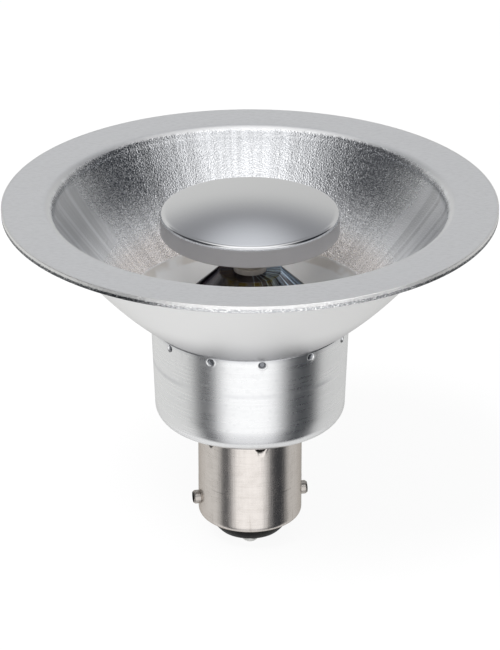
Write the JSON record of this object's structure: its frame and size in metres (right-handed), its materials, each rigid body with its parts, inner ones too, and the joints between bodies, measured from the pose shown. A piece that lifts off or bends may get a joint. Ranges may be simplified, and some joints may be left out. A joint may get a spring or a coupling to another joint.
{
  "type": "led reflector bulb",
  "caption": "Small reflector lamp with a wide flat rim, a glare disc over a polished cone, a turned metal cup and a bayonet cap.",
  "frame": {"origin": "on the lamp's axis, in the plane of the two contact tips", "axes": "+Z along the axis towards the light's exit, -Y towards the side the picture shows, X to its right"},
  "size_m": [0.07, 0.07, 0.053],
  "materials": {
    "reflector_sheet": "matt outside, bright and finely stippled inside",
    "glare_metal": "satin",
    "pad_rubber": "matt",
    "led_board": "white solder mask",
    "led_phosphor": "phosphor gel",
    "wire_red": "satin insulation",
    "wire_black": "satin insulation",
    "stem_ceramic": "satin",
    "fastener_steel": "zinc plated",
    "cone_chrome": "mirror polished",
    "plate_metal": "turned",
    "cup_metal": "turned and brushed round the axis",
    "sleeve_plastic": "moulded",
    "driver_board": "green solder mask",
    "ferrite": "matt",
    "copper_wire": "enamelled",
    "capacitor_can": "shrunk sleeve",
    "chip_plastic": "moulded",
    "resistor_ceramic": "matt",
    "cap_nickel": "nickel plated, drawn",
    "cap_glass": "black, glossy",
    "solder": "solder, dull"
  },
  "bodies": {
    "root": {"reflector": "reflector_sheet", "glare_cap": "glare_metal", "thermal_pad": "pad_rubber", "led_board": "led_board", "led_chips": "led_phosphor", "led_wire_left": "wire_red", "led_wire_right": "wire_black", "stem_tube": "stem_ceramic", "stem_washer": "fastener_steel", "stem_nut": "fastener_steel", "mirror_cone": "cone_chrome", "base_plate": "plate_metal", "housing_cup": "cup_metal", "driver_sleeve": "sleeve_plastic", "driver_board": "driver_board", "inductor_core": "ferrite", "inductor_winding": "copper_wire", "smoothing_capacitor": "capacitor_can", "driver_chip": "chip_plastic", "bridge_rectifier": "chip_plastic", "chip_resistors": "resistor_ceramic", "supply_wire_front": "wire_red", "supply_wire_rear": "wire_black", "cap_shell": "cap_nickel", "bayonet_pin_left": "cap_nickel", "bayonet_pin_right": "cap_nickel", "cap_insulator": "cap_glass", "contact_front": "solder", "contact_rear": "solder"}
  },
  "joints": []
}
